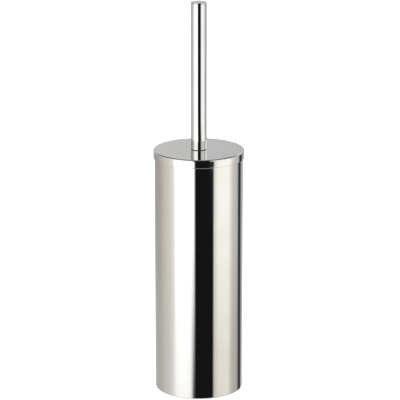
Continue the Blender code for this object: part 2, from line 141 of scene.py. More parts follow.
# ---- mesh making ----------------------------------------------------------------
def rounded(corners, closed=True):
    """Turn corners (r, z) or (r, z, radius) into an outline with tangent arcs."""
    count = len(corners)
    outline = []
    for i, corner in enumerate(corners):
        point = Vector(corner[:2])
        radius = corner[2] if len(corner) > 2 else 0
        at_end = not closed and i in (0, count - 1)
        if not radius or at_end:
            outline.append(tuple(point))
            continue
        before = (Vector(corners[i - 1][:2]) - point).normalized()
        after = (Vector(corners[(i + 1) % count][:2]) - point).normalized()
        half = before.angle(after) / 2
        tangent = radius / math.tan(half)
        centre = point + (before + after).normalized() * (radius / math.sin(half))
        start = point + before * tangent - centre
        end = point + after * tangent - centre
        sweep = start.angle_signed(end)
        for step in range(ARC_STEPS + 1):
            turn = Matrix.Rotation(-sweep * step / ARC_STEPS, 2)
            outline.append(tuple(centre + turn @ start))
    return outline


def braced(outline, closed=True):
    """Add a ring close to both ends of each long straight, so that it shades flat."""
    count = len(outline)
    result = []
    for i, point in enumerate(outline):
        result.append(point)
        if i == count - 1 and not closed:
            break
        start = Vector(point)
        end = Vector(outline[(i + 1) % count])
        length = (end - start).length
        if length > 3 * BRACE:
            result += [tuple(start.lerp(end, BRACE / length)), tuple(end.lerp(start, BRACE / length))]
    return result


def mesh_from(shape, name):
    mesh = bpy.data.meshes.new(name)
    shape.to_mesh(mesh)
    shape.free()
    return mesh


def new_piece(name, mesh, material, body, node):
    """Link a mesh as a piece that rides on a body and stands for a CAD node."""
    mesh.materials.append(material)
    mesh.shade_smooth()
    mesh.set_sharp_from_angle(angle=SHARP_ANGLE)
    piece = bpy.data.objects.new(name, mesh)
    bpy.context.scene.collection.objects.link(piece)
    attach(piece, body)
    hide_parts(node)


def lathe(name, outline, segments, radial=None):
    """Turn an outline about Z. It runs down its outer side.

    An outline whose ends are on the axis makes a solid; any other is closed into
    a ring. radial(r, angle, z) may return a changed radius.
    """
    shape = bmesh.new()
    solid = outline[0][0] == 0 and outline[-1][0] == 0
    rings = []
    for r, z in braced(outline, closed=not solid):
        if r == 0:
            rings.append([shape.verts.new((0, 0, z))])
            continue
        ring = []
        for i in range(segments):
            angle = 2 * math.pi * i / segments
            radius = radial(r, angle, z) if radial else r
            ring.append(shape.verts.new((radius * math.cos(angle), radius * math.sin(angle), z)))
        rings.append(ring)
    pairs = list(zip(rings, rings[1:]))
    if not solid:
        pairs.append((rings[-1], rings[0]))
    for upper, lower in pairs:
        for i in range(segments):
            j = (i + 1) % segments
            corners = [upper[i % len(upper)], lower[i % len(lower)],
                       lower[j % len(lower)], upper[j % len(upper)]]
            face = list(dict.fromkeys(corners))
            if len(face) > 2:
                shape.faces.new(face)
    return mesh_from(shape, name)


def turned_piece(name, outline, segments, material, body, node, radial=None):
    new_piece(name, lathe(name, outline, segments, radial), material, body, node)


def thread_wave(turn):
    """Height of a rolled thread, 0 in the root to 1 on the crest, over one pitch."""
    ramp = abs((turn % 1.0) * 2 - 1)
    return min(1.0, max(0.0, (ramp - 0.12) / 0.70))


def threaded_outline(radius, top, bottom, pitch, chamfer):
    """Levels for a threaded shank, close enough together for the thread's flanks."""
    rows = int((top - bottom) / pitch * THREAD_ROWS_PER_PITCH)
    step = (top - bottom) / rows
    outline = []
    for i in range(rows + 1):
        z = top - step * i
        inset = max(0.0, chamfer - min(top - z, z - bottom))
        outline.append((radius - inset, z))
    return outline


def thread_cutter(radius, top, bottom, pitch):
    """A radial function that cuts a right-hand thread between two levels."""
    depth = THREAD_DEPTH_SHARE * pitch

    def radial(r, angle, z):
        if not bottom <= z <= top or r < radius - 2 * pitch:
            return r
        crest = thread_wave(z / pitch - angle / (2 * math.pi))
        return min(r, radius - depth * (1 - crest))

    return radial


def ring_outline(bore, radius, bottom, top, edge):
    """A washer's section with rounded edges."""
    corners = ((bore, top), (radius, top), (radius, bottom), (bore, bottom))
    return rounded([(*corner, edge) for corner in corners])


def node_ring(node, bore, edge):
    """A washer's section as big as its CAD node."""
    return ring_outline(bore, *extent(node), edge)


# ---- material nodes ---------------------------------------------------------------
class Nodes:
    """Short ways to add nodes to a tree."""

    def __init__(self, tree):
        self.tree = tree

    def node(self, kind, **settings):
        made = self.tree.nodes.new(kind)
        for key, value in settings.items():
            setattr(made, key, value)
        return made

    def link(self, source, target):
        self.tree.links.new(source, target)

    def math(self, operation, first, second=None):
        made = self.node("ShaderNodeMath", operation=operation)
        for socket, value in zip(made.inputs, (first, second)):
            if value is None:
                continue
            if isinstance(value, (int, float)):
                socket.default_value = value
            else:
                self.link(value, socket)
        return made.outputs[0]

    def spread(self, value, low, high, start=0.0, end=1.0, smooth=False):
        """Map start..end to low..high, clamped."""
        made = self.node("ShaderNodeMapRange", interpolation_type="SMOOTHSTEP" if smooth else "LINEAR")
        for key, number in (("From Min", start), ("From Max", end), ("To Min", low), ("To Max", high)):
            made.inputs[key].default_value = number
        self.link(value, made.inputs["Value"])
        return made.outputs["Result"]

    def mix(self, factor, first, second):
        """Blend two colours, given as triples or as sockets."""
        made = self.node("ShaderNodeMix", data_type="RGBA")
        self.link(factor, made.inputs["Factor"])
        for socket, colour in ((made.inputs[6], first), (made.inputs[7], second)):
            if isinstance(colour, tuple):
                socket.default_value = (*colour, 1)
            else:
                self.link(colour, socket)
        return made.outputs[2]


class NodeMaterial(Nodes):
    """A Principled material with procedural detail."""

    def __init__(self, name, colour, roughness, metallic=0.0):
        self.material = bpy.data.materials.new(name)
        self.material.use_nodes = True
        super().__init__(self.material.node_tree)
        self.shader = self.tree.nodes["Principled BSDF"]
        self.shader.inputs["Base Color"].default_value = (*colour, 1)
        self.shader.inputs["Roughness"].default_value = roughness
        self.shader.inputs["Metallic"].default_value = metallic
        self.place = self.node("ShaderNodeTexCoord").outputs["Object"]

    def polar(self):
        """Coordinates (radius, turn, height), for marks that follow a turned surface."""
        split = self.node("ShaderNodeSeparateXYZ")
        self.link(self.place, split.inputs[0])
        angle = self.math("ARCTAN2", split.outputs["Y"], split.outputs["X"])
        squares = [self.math("MULTIPLY", split.outputs[axis], split.outputs[axis]) for axis in "XY"]
        radius = self.math("SQRT", self.math("ADD", *squares))
        joined = self.node("ShaderNodeCombineXYZ")
        self.link(radius, joined.inputs["X"])
        self.link(angle, joined.inputs["Y"])
        self.link(split.outputs["Z"], joined.inputs["Z"])
        return joined.outputs[0]

    def height(self):
        split = self.node("ShaderNodeSeparateXYZ")
        self.link(self.place, split.inputs[0])
        return split.outputs["Z"]

    def noise(self, scale, detail=3.0, roughness=0.5, place=None):
        """Noise from 0 to 1; scale is one number, or one for each axis, per metre."""
        sizes = scale if isinstance(scale, tuple) else (scale, scale, scale)
        mapping = self.node("ShaderNodeMapping")
        mapping.inputs["Scale"].default_value = sizes
        self.link(place or self.place, mapping.inputs["Vector"])
        made = self.node("ShaderNodeTexNoise")
        made.inputs["Scale"].default_value = 1.0
        made.inputs["Detail"].default_value = detail
        made.inputs["Roughness"].default_value = roughness
        self.link(mapping.outputs[0], made.inputs["Vector"])
        return made.outputs["Fac"]

    def bump(self, height, distance, strength=1.0, below=None):
        made = self.node("ShaderNodeBump")
        made.inputs["Distance"].default_value = distance
        made.inputs["Strength"].default_value = strength
        self.link(height, made.inputs["Height"])
        if below:
            self.link(below, made.inputs["Normal"])
        return made.outputs["Normal"]

    def use(self, socket, output):
        self.link(output, self.shader.inputs[socket])


# ---- materials --------------------------------------------------------------------
def polished_steel(name, worn_levels=()):
    """Mirror-polished stainless sheet: faint polishing lines, haze, handling marks."""
    steel = NodeMaterial(name, (0.76, 0.755, 0.745), 0.05, 1.0)
    polar = steel.polar()
    haze = steel.noise(35.0, detail=4.0)
    lines = steel.noise((2600.0, 2.2, 2600.0), detail=2.0, place=polar)
    smudge = steel.noise(120.0, detail=5.0, roughness=0.65)
    tint = steel.spread(haze, 0.0, 1.0, 0.35, 0.65)
    steel.use("Base Color", steel.mix(tint, (0.745, 0.735, 0.72), (0.775, 0.772, 0.765)))
    roughness = steel.math("ADD", steel.spread(haze, 0.028, 0.05, 0.3, 0.7),
                           steel.spread(lines, -0.006, 0.012, 0.35, 0.7))
    roughness = steel.math("ADD", roughness, steel.spread(smudge, 0.0, 0.035, 0.58, 0.78))
    for level in worn_levels:
        away = steel.math("ABSOLUTE", steel.math("SUBTRACT", steel.height(), level))
        wear = steel.math("MULTIPLY", steel.spread(away, 1.0, 0.0, 0.0, 1.6 * MM),
                          steel.spread(smudge, 0.0, 0.16, 0.35, 0.7))
        roughness = steel.math("ADD", roughness, wear)
    steel.use("Roughness", roughness)
    waviness = steel.bump(steel.noise((28.0, 28.0, 9.0), detail=1.0), 0.05 * MM)
    steel.use("Normal", steel.bump(lines, 0.0006 * MM, below=waviness))
    return steel.material


def satin_steel(name):
    """Turned and pressed steel with fine tool marks round the axis."""
    steel = NodeMaterial(name, (0.62, 0.61, 0.60), 0.3, 1.0)
    polar = steel.polar()
    rings = steel.noise((5200.0, 1.4, 5200.0), detail=3.0, place=polar)
    cloud = steel.noise(180.0, detail=4.0)
    steel.use("Base Color", steel.mix(cloud, (0.55, 0.545, 0.54), (0.67, 0.66, 0.645)))
    steel.use("Roughness", steel.math("ADD", steel.spread(cloud, 0.2, 0.34, 0.3, 0.7),
                                      steel.spread(rings, -0.04, 0.08, 0.3, 0.7)))
    steel.use("Normal", steel.bump(rings, 0.012 * MM))
    return steel.material


def black_plastic(name):
    """Injection-moulded polypropylene: a fine spark-eroded grain, faint flow and scuffs."""
    plastic = NodeMaterial(name, (0.022, 0.022, 0.024), 0.42)
    plastic.shader.inputs["IOR"].default_value = 1.49
    grain = plastic.noise(2400.0, detail=2.0)
    flow = plastic.noise((40.0, 40.0, 12.0), detail=4.0)
    scuff = plastic.noise((900.0, 900.0, 70.0), detail=4.0, roughness=0.7)
    share = plastic.spread(flow, 0.0, 1.0, 0.3, 0.7)
    tone = plastic.mix(share, (0.016, 0.016, 0.018), (0.028, 0.028, 0.030))
    worn = plastic.spread(scuff, 0.0, 1.0, 0.66, 0.82)
    plastic.use("Base Color", plastic.mix(worn, tone, (0.055, 0.055, 0.057)))
    plastic.use("Roughness", plastic.math("ADD", plastic.spread(flow, 0.36, 0.48, 0.3, 0.7),
                                          plastic.spread(grain, -0.04, 0.06)))
    plastic.use("Normal", plastic.bump(grain, 0.02 * MM, 0.7))
    return plastic.material


def black_rubber(name):
    """Soft black elastomer with a matt, slightly dusty skin."""
    rubber = NodeMaterial(name, (0.018, 0.018, 0.018), 0.78)
    grain = rubber.noise(3000.0, detail=3.0)
    dust = rubber.noise(260.0, detail=5.0, roughness=0.6)
    rubber.use("Base Color", rubber.mix(rubber.spread(dust, 0.0, 1.0, 0.4, 0.85),
                                        (0.014, 0.014, 0.014), (0.05, 0.048, 0.045)))
    rubber.use("Roughness", rubber.spread(grain, 0.68, 0.88, 0.3, 0.7))
    rubber.use("Normal", rubber.bump(grain, 0.02 * MM, 0.8))
    return rubber.material


def white_plastic(name):
    """Glossy white moulding with a soft inner glow and faint sink marks."""
    plastic = NodeMaterial(name, (0.82, 0.82, 0.80), 0.35)
    plastic.shader.inputs["Subsurface Weight"].default_value = 0.12
    plastic.shader.inputs["Subsurface Radius"].default_value = (1.0, 0.9, 0.8)
    plastic.shader.inputs["Subsurface Scale"].default_value = 1.2 * MM
    cloud = plastic.noise(90.0, detail=4.0)
    grain = plastic.noise(1900.0, detail=2.0)
    plastic.use("Base Color", plastic.mix(cloud, (0.78, 0.78, 0.76), (0.85, 0.85, 0.835)))
    plastic.use("Roughness", plastic.math("ADD", plastic.spread(cloud, 0.26, 0.38, 0.3, 0.7),
                                          plastic.spread(grain, -0.02, 0.04)))
    plastic.use("Normal", plastic.bump(cloud, 0.05 * MM, 0.6, below=plastic.bump(grain, 0.008 * MM)))
    return plastic.material


def bristle_fibre(name):
    """White nylon filament, each tuft a little different, darker and yellower towards the brush's axis,
    where the roots are.
    """
    fibre = NodeMaterial(name, (0.86, 0.86, 0.84), 0.4)
    fibre.shader.inputs["Subsurface Weight"].default_value = 0.2
    fibre.shader.inputs["Subsurface Radius"].default_value = (1.0, 0.95, 0.85)
    fibre.shader.inputs["Subsurface Scale"].default_value = 0.6 * MM
    tuft = fibre.noise(230.0, detail=1.0)
    strand = fibre.noise(2200.0, detail=2.0)
    split = fibre.node("ShaderNodeSeparateXYZ")
    fibre.link(fibre.polar(), split.inputs[0])
    # darker and yellower towards the axis: full within 12 mm of it, gone at 30 mm
    out = fibre.spread(split.outputs["X"], 0.0, 1.0, 12.0 * MM, 30.0 * MM)
    body = fibre.mix(tuft, (0.80, 0.80, 0.775), (0.90, 0.90, 0.885))
    tone = fibre.mix(out, (0.66, 0.65, 0.60), body)
    shade = fibre.spread(strand, 0.0, 0.25, 0.4, 0.8)
    fibre.use("Base Color", fibre.mix(shade, tone, (0.72, 0.73, 0.72)))
    fibre.use("Roughness", fibre.spread(strand, 0.3, 0.5, 0.3, 0.7))
    return fibre.material


# ---- holder -----------------------------------------------------------------------
def build_holder(steel, satin, rubber):
    radius, bottom, top = extent("holder_shell")
    inner = radius - SHEET
    lip = extent("foot_ring")[0] + GAP
    rim = 0.48 * SHEET
    shell = rounded([
        (inner, top, rim),
        (radius, top, rim),
        (radius, bottom, 1.2 * MM),
        (lip, bottom, 0.25 * MM),
        (lip, bottom + SHEET, 0.25 * MM),
        (inner, bottom + SHEET, 0.4 * MM),
    ])
    turned_piece("shell_tube", shell, WIDE_SEGMENTS, steel, "holder", "holder_shell")

    radius, bottom, top = extent("base_plate")
    inner = radius - PLATE_SHEET
    floor = bottom + PLATE_SHEET
    bead = 24 * MM
    bead_half = 2.5 * MM
    bead_depth = 0.2 * MM
    plate = rounded([
        (0, floor),
        (bead - bead_half, floor, 0.5 * MM),
        (bead, floor + bead_depth, 2 * MM),
        (bead + bead_half, floor, 0.5 * MM),
        (inner, floor, 0.5 * MM),
        (inner, top, 0.2 * MM),
        (radius, top, 0.2 * MM),
        (radius, bottom, 1.2 * MM),
        (bead + bead_half, bottom, 0.5 * MM),
        (bead, bottom + bead_depth, 2 * MM),
        (bead - bead_half, bottom, 0.5 * MM),
        (0, bottom),
    ], closed=False)
    turned_piece("base_pan", plate, WIDE_SEGMENTS, satin, "holder", "base_plate")

    radius, bottom, top = extent("foot_ring")
    bore = 30 * MM
    grooves = 3
    groove_half = 0.7 * MM
    groove_floor_half = 0.4 * MM
    groove_depth = 0.45 * MM
    pitch = (radius - bore) / (grooves + 1)
    corners = [(bore, top, 0.2 * MM), (radius, top, 0.2 * MM), (radius, bottom, 0.4 * MM)]
    for i in range(grooves, 0, -1):
        middle = bore + pitch * i
        corners += [
            (middle + groove_half, bottom, 0.15 * MM),
            (middle + groove_floor_half, bottom + groove_depth, 0.1 * MM),
            (middle - groove_floor_half, bottom + groove_depth, 0.1 * MM),
            (middle - groove_half, bottom, 0.15 * MM),
        ]
    corners.append((bore, bottom, 0.4 * MM))
    turned_piece("grip_ring", rounded(corners), WIDE_SEGMENTS, rubber, "holder",
                 "foot_ring")


def build_liner(plastic):
    """Cup with a hanging flange and four slim guide ribs down its outside."""
    flange, bottom, top = extent("inner_liner")
    wall_top = extent("holder_shell")[0] - SHEET - 0.5 * MM
    wall_low = wall_top - LINER_DRAFT
    floor = bottom + 1.6 * MM
    under_flange = top - 1.2 * MM
    outline = rounded([
        (0, floor),
        (wall_low - LINER_WALL, floor, 4 * MM),
        (wall_top - LINER_WALL, top, 0.5 * MM),
        (flange, top, 0.4 * MM),
        (flange, under_flange, 0.3 * MM),
        (wall_top, under_flange, 0.3 * MM),
        (wall_low, bottom, 5.4 * MM),
        (0, bottom),
    ], closed=False)
    rib_height = 0.3 * MM
    rib_half = math.radians(1.5)
    rib_bottom = bottom + 8 * MM
    quarter = math.pi / 2

    def ribbed(r, angle, z):
        wall = wall_low + (wall_top - wall_low) * (z / top)
        on_outside = r > wall_low - 0.1 * MM and r >= wall - 0.5 * MM
        off = abs((angle + quarter / 2) % quarter - quarter / 2)
        if not on_outside or not rib_bottom < z < under_flange or off > rib_half:
            return r
        return r + rib_height * math.cos(off / rib_half * quarter)

    # The long wall gets levels of its own, for the ribs to be drawn on.
    levels = 12
    long_wall = 100 * MM
    tall = []
    for (r0, z0), (r1, z1) in zip(outline, outline[1:] + outline[:1]):
        tall.append((r0, z0))
        if z0 - z1 > long_wall:
            shares = [i / levels for i in range(1, levels)]
            tall += [(r0 + (r1 - r0) * share, z0 + (z1 - z0) * share) for share in shares]
    turned_piece("liner_cup", tall, WIDE_SEGMENTS, plastic, "liner", "inner_liner",
                 ribbed)


def build_buffer_ring(rubber):
    bore = COLLAR_RADIUS + 0.5 * MM
    turned_piece("soft_ring", node_ring("lid_buffer_ring", bore, 0.5 * MM), WIDE_SEGMENTS, rubber,
                 "buffer_ring", "lid_buffer_ring")


# ---- lid --------------------------------------------------------------------------
def build_lid(steel):
    radius, bottom, top = extent("lid")
    hole = 3.5 * MM
    inner = radius - LID_SHEET
    hem = extent("holder_shell")[0] + 0.35 * MM
    hem_round = 0.48 * (radius - hem)
    hem_top = bottom + 1.6 * MM
    outline = rounded([
        (hole, top, 0.2 * MM),
        (radius, top, 1.2 * MM),
        (radius, bottom, hem_round),
        (hem, bottom, hem_round),
        (hem, hem_top, 0.3 * MM),
        (inner, hem_top + 0.5 * MM, 0.2 * MM),
        (inner, top - LID_SHEET, 0.6 * MM),
        (hole, top - LID_SHEET, 0.2 * MM),
    ])
    turned_piece("lid_cover", outline, WIDE_SEGMENTS, steel, "brush", "lid")


def boolean(piece_mesh, tool_meshes, operation):
    """Join or cut a mesh by others and return the result."""
    host = bpy.data.objects.new("host", piece_mesh)
    bpy.context.scene.collection.objects.link(host)
    tools = []
    for mesh in tool_meshes:
        tool = bpy.data.objects.new("tool", mesh)
        bpy.context.scene.collection.objects.link(tool)
        modifier = host.modifiers.new("Boolean", "BOOLEAN")
        modifier.operation = operation
        modifier.object = tool
        tools.append(tool)
    depsgraph = bpy.context.evaluated_depsgraph_get()
    result = bpy.data.meshes.new_from_object(host.evaluated_get(depsgraph))
    for used in [host, *tools]:
        bpy.data.objects.remove(used)
    return result


def build_lid_insert(plastic):
    """Plug under the lid: flange, centring collar with sealing beads, hub and ribs."""
    flange, bottom, top = extent("lid_insert")
    under = top - 2.1 * MM
    collar = COLLAR_RADIUS
    collar_inner = collar - 1.5 * MM
    hub = 8.5 * MM
    hub_bottom = bottom + 2 * MM
    corners = [
        (STUD_BORE_RADIUS, top, 0.2 * MM),
        (flange, top, 0.4 * MM),
        (flange, under, 0.4 * MM),
        (collar, under, 0.3 * MM),
    ]
    beads = 3
    bead_half = 0.6 * MM
    bead_height = 0.25 * MM
    for i in range(beads):
        bead = under - (3.0 + 2.4 * i) * MM
        corners += [
            (collar, bead + bead_half, 0.3 * MM),
            (collar + bead_height, bead, 0.25 * MM),
            (collar, bead - bead_half, 0.3 * MM),
        ]
    corners += [
        (collar - 0.1 * MM, bottom, 0.6 * MM),
        (collar_inner, bottom, 0.4 * MM),
        (collar_inner, under, 1.0 * MM),
        (hub, under, 1.0 * MM),
        (hub, hub_bottom, 0.5 * MM),
        (STUD_BORE_RADIUS, hub_bottom, 0.3 * MM),
    ]
    body = lathe("plug", rounded(corners), WIDE_SEGMENTS)
    ribs = []
    rib_count = 6
    rib_thickness = 1.4 * MM
    overlap = 0.4 * MM
    rib_top = under + overlap
    rib_bottom = bottom + 5 * MM
    length = collar_inner - hub + 2 * overlap
    for i in range(rib_count):
        angle = 2 * math.pi * (i + 0.5) / rib_count
        rib = bmesh.new()
        bmesh.ops.create_cube(rib, size=1)
        bmesh.ops.scale(rib, vec=(length, rib_thickness, rib_top - rib_bottom), verts=rib.verts)
        bmesh.ops.bevel(rib, geom=rib.edges[:], offset=0.25 * MM, segments=2, affect="EDGES")
        place = Matrix.Rotation(angle, 4, "Z") @ Matrix.Translation(
            ((collar_inner + hub) / 2, 0, (rib_top + rib_bottom) / 2))
        bmesh.ops.transform(rib, matrix=place, verts=rib.verts)
        ribs.append(mesh_from(rib, "rib"))
    new_piece("lid_plug", boolean(body, ribs, "UNION"), plastic, "brush", "lid_insert")


def build_nut(satin):
    """Hexagon nut with chamfered corners and a countersunk, threaded bore."""
    low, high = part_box("lid_nut")
    height = high.z - low.z
    flat = high.x
    corner = flat / math.cos(math.pi / 6)
    hexagon = bmesh.new()
    bmesh.ops.create_cone(hexagon, cap_ends=True, segments=6, radius1=corner, radius2=corner,
                          depth=height)
    bmesh.ops.translate(hexagon, vec=(0, 0, low.z + height / 2), verts=hexagon.verts)
    upright = [edge for edge in hexagon.edges
               if abs(edge.verts[0].co.z - edge.verts[1].co.z) > height / 2]
    bmesh.ops.bevel(hexagon, geom=upright, offset=0.15 * MM, segments=3, affect="EDGES")
    prism = mesh_from(hexagon, "hexagon")

    chamfer = 0.55 * MM
    past = 0.05 * MM                   # how far the barrel reaches past the nut's faces
    countersink = 0.4 * MM
    barrel_radius = corner + 0.2 * MM
    face_radius = flat - 0.1 * MM
    sink_radius = STUD_BORE_RADIUS + countersink
    outline = [
        (sink_radius, high.z + past),
        (face_radius, high.z + past),
        (barrel_radius, high.z - chamfer),
        (barrel_radius, low.z + chamfer),
        (face_radius, low.z - past),
        (sink_radius, low.z - past),
    ]
    bore = threaded_outline(STUD_BORE_RADIUS, high.z - countersink, low.z + countersink, STUD_PITCH, 0)
    outline += reversed(bore)

    def threaded(r, angle, z):
        if r > STUD_BORE_RADIUS:
            return r
        return r - NUT_THREAD_DEPTH * thread_wave(z / STUD_PITCH - angle / (2 * math.pi) + 0.5)

    barrel = lathe("barrel", outline, SLIM_SEGMENTS, threaded)
    new_piece("hex_nut", boolean(prism, [barrel], "INTERSECT"), satin, "brush", "lid_nut")


# ---- handle -----------------------------------------------------------------------
def build_handle(steel, satin, rubber):
    radius = extent("handle_gasket")[0]
    bottom = extent("lid")[2] + SEAT
    top = bottom + GASKET_SQUEEZED
    washer = ring_outline(STUD_BORE_RADIUS, radius, bottom, top, 0.4 * GASKET_SQUEEZED)
    turned_piece("joint_washer", washer, SLIM_SEGMENTS, rubber, "brush", "handle_gasket")

    outer, _, tube_top = extent("handle_tube")
    pipe = ring_outline(outer - SHEET, outer, top + SEAT, tube_top, 0.2 * MM)
    turned_piece("handle_pipe", pipe, 2 * SLIM_SEGMENTS, steel, "brush", "handle_tube")

    radius, bottom, top = extent("handle_end_cap")
    plug = radius - SHEET - PLUG_CLEARANCE
    under = tube_top + SEAT
    cap = rounded([
        (0, top),
        (radius, top, 0.5 * MM),
        (radius, under, 0.1 * MM),
        (plug, under, 0.1 * MM),
        (plug, bottom, 0.3 * MM),
        (plug - SHEET, bottom, 0.3 * MM),
        (plug - SHEET, under, 0.5 * MM),
        (0, under),
    ], closed=False)
    turned_piece("end_disc", cap, 2 * SLIM_SEGMENTS, steel, "brush", "handle_end_cap")

    turned_piece("threaded_plug", node_ring("handle_insert", STUD_BORE_RADIUS, 0.5 * MM), SLIM_SEGMENTS,
                 satin, "brush", "handle_insert")

    radius, bottom, top = extent("handle_stud")
    shank = threaded_outline(radius, top, bottom, STUD_PITCH, THREAD_CHAMFER)
    turned_piece("threaded_rod", [(0, top), *shank, (0, bottom)], SLIM_SEGMENTS // 2, satin, "brush",
                 "handle_stud", thread_cutter(radius, top, bottom, STUD_PITCH))


def build_stem(steel, satin):
    turned_piece("clamp_washer", node_ring("lid_washer", STUD_BORE_RADIUS, 0.2 * MM), SLIM_SEGMENTS,
                 satin, "brush", "lid_washer")
    radius, tube_bottom, tube_top = extent("stem_tube")
    turned_piece("stem_pipe", node_ring("stem_tube", radius - SHEET, 0.15 * MM), SLIM_SEGMENTS,
                 steel, "brush", "stem_tube")
    plug = radius - SHEET - PLUG_CLEARANCE

    radius, bottom, top = extent("stem_top_bush")
    under = tube_top + GAP
    bush = rounded([
        (STUD_BORE_RADIUS, top, 0.3 * MM),
        (radius, top, 0.25 * MM),
        (radius, under, 0.15 * MM),
        (plug, under, 0.15 * MM),
        (plug, bottom, 0.5 * MM),
        (STUD_BORE_RADIUS, bottom, 0.2 * MM),
    ])
    turned_piece("upper_bush", bush, SLIM_SEGMENTS, satin, "brush", "stem_top_bush")

    radius, bottom, top = extent("stem_bottom_bush")
    stub = 4 * MM
    flange_top = tube_bottom - GAP
    shoulder = flange_top - 1.5 * MM
    thread_top = shoulder - 0.2 * MM
    outline = rounded([
        (0, top),
        (plug, top, 0.5 * MM),
        (plug, flange_top, 0.15 * MM),
        (radius, flange_top, 0.15 * MM),
        (radius, shoulder, 0.25 * MM),
        (stub, shoulder, 0.2 * MM),
    ], closed=False)
    outline += threaded_outline(stub, thread_top, bottom, HEAD_PITCH, THREAD_CHAMFER)
    outline.append((0, bottom))
    turned_piece("lower_bush", outline, SLIM_SEGMENTS, satin, "brush", "stem_bottom_bush",
                 thread_cutter(stub, thread_top - 0.2 * MM, bottom, HEAD_PITCH))


# ---- brush head -------------------------------------------------------------------
def build_head_washer(rubber):
    turned_piece("neck_washer", node_ring("head_washer", HEAD_BORE_RADIUS, 0.3 * MM), SLIM_SEGMENTS,
                 rubber, "washer", "head_washer")


def build_head_core(plastic):
    """Moulded core: fluted neck to grip, conical shoulder, and the drum that holds the tufts."""
    radius, bottom, top = extent("brush_head_core")
    neck_bottom = top - NECK_LENGTH
    shoulder_bottom = neck_bottom - 6 * MM
    socket = top - 15 * MM
    outline = rounded([
        (0, socket),
        (HEAD_BORE_RADIUS, socket, 0.5 * MM),
        (HEAD_BORE_RADIUS, top, 0.4 * MM),
        (NECK_RADIUS, top, 1.0 * MM),
        (NECK_RADIUS, neck_bottom, 0.8 * MM),
        (radius, shoulder_bottom, 2.0 * MM),
        (radius, bottom, 1.5 * MM),
        (0, bottom),
    ], closed=False)

    def fluted(r, angle, z):
        if r < NECK_RADIUS - 0.2 * MM or not neck_bottom < z < top - 0.5 * MM:
            return r
        return r - FLUTE_DEPTH * (0.5 - 0.5 * math.cos(FLUTES * angle))

    turned_piece("head_drum", outline, 2 * SLIM_SEGMENTS, plastic, "brush_head",
                 "brush_head_core", fluted)


def add_filament(shape, root, tip, bend):
    """A slim tube from root to tip that bows by the vector bend."""
    axis = (tip - root).normalized()
    side = axis.orthogonal().normalized()
    other = axis.cross(side)
    rings = []
    for share in FILAMENT_KNOTS:
        centre = root.lerp(tip, share) + bend * (4 * share * (1 - share))
        ring = []
        for i in range(FILAMENT_SIDES):
            angle = 2 * math.pi * i / FILAMENT_SIDES
            ring.append(shape.verts.new(centre + (side * math.cos(angle) + other * math.sin(angle))
                                        * FILAMENT_RADIUS))
        rings.append(ring)
    for lower, upper in zip(rings, rings[1:]):
        for i in range(FILAMENT_SIDES):
            j = (i + 1) % FILAMENT_SIDES
            shape.faces.new((lower[i], lower[j], upper[j], upper[i]))
    shape.faces.new(list(reversed(rings[0])))
    shape.faces.new(rings[-1])


def add_tuft(shape, draw, root, tip, spread, limit):
    """Filaments that leave one hole together and fan out to the tuft's tip."""
    axis = (tip - root).normalized()
    side = axis.orthogonal().normalized()
    other = axis.cross(side)
    for _ in range(FILAMENTS_PER_TUFT):
        angle = draw.uniform(0, 2 * math.pi)
        reach = math.sqrt(draw.random())
        across = side * math.cos(angle) + other * math.sin(angle)
        start = root + across * (reach * TUFT_ROOT_RADIUS)
        end = tip + across * (reach * spread) + axis * draw.uniform(TIP_SHORTEST, TIP_LONGEST)
        end += Vector([draw.gauss(0, TIP_SCATTER) for _ in range(3)])
        bend = Vector([draw.gauss(0, FILAMENT_BOW) for _ in range(3)])
        add_filament(shape, start, limit(end), bend)


def tip_limit(node, rounded_end, corner):
    """A function that holds a tip inside a bristle field with one rounded end."""
    radius, bottom, top = extent(node)

    def limit(point):
        point.z = min(top - FILAMENT_RADIUS, max(bottom + FILAMENT_RADIUS, point.z))
        reach = radius - FILAMENT_RADIUS
        into_round = corner - abs(point.z - rounded_end)
        if into_round > 0:
            reach -= corner * (1 - math.sqrt(max(0.0, 1 - (into_round / corner) ** 2)))
        flat = math.hypot(point.x, point.y)
        if flat > reach:
            point.x *= reach / flat
            point.y *= reach / flat
        return point

    return limit


def build_side_tufts(fibre):
    radius, bottom, top = extent("side_bristles")
    root_radius = extent("brush_head_core")[0] - 1.0 * MM
    limit = tip_limit("side_bristles", top, SIDE_CORNER)
    draw = random.Random(11)
    shape = bmesh.new()
    for row in range(SIDE_ROWS):
        z = bottom + SIDE_MARGIN + (top - bottom - 2 * SIDE_MARGIN) * row / (SIDE_ROWS - 1)
        rise = (z - (top + bottom) / 2) * SIDE_FAN
        for i in range(SIDE_TUFTS_PER_ROW):
            angle = 2 * math.pi * (i + 0.5 * (row % 2)) / SIDE_TUFTS_PER_ROW
            out = Vector((math.cos(angle), math.sin(angle), 0))
            root = out * root_radius + Vector((0, 0, z))
            tip = out * radius + Vector((0, 0, z + rise))
            add_tuft(shape, draw, root, tip, SIDE_SPREAD, limit)
    mesh = mesh_from(shape, "side_tufts")
    new_piece("side_tufts", mesh, fibre, "brush_head", "side_bristles")


def build_end_tufts(fibre):
    radius, bottom, _ = extent("end_bristles")
    core_bottom = extent("brush_head_core")[1]
    limit = tip_limit("end_bristles", bottom, END_CORNER)
    draw = random.Random(23)
    shape = bmesh.new()
    for count, root_radius, lean, tip_height in END_RINGS:
        for i in range(count):
            angle = 2 * math.pi * (i + 0.3) / count
            out = Vector((math.cos(angle), math.sin(angle), 0))
            root = out * root_radius + Vector((0, 0, core_bottom - 0.6 * MM))
            drop = core_bottom - bottom - tip_height
            reach = root_radius + drop * math.tan(math.radians(lean))
            tip = out * min(reach, radius) + Vector((0, 0, bottom + tip_height))
            add_tuft(shape, draw, root, tip, END_SPREAD, limit)
    mesh = mesh_from(shape, "end_tufts")
    new_piece("end_tufts", mesh, fibre, "brush_head", "end_bristles")
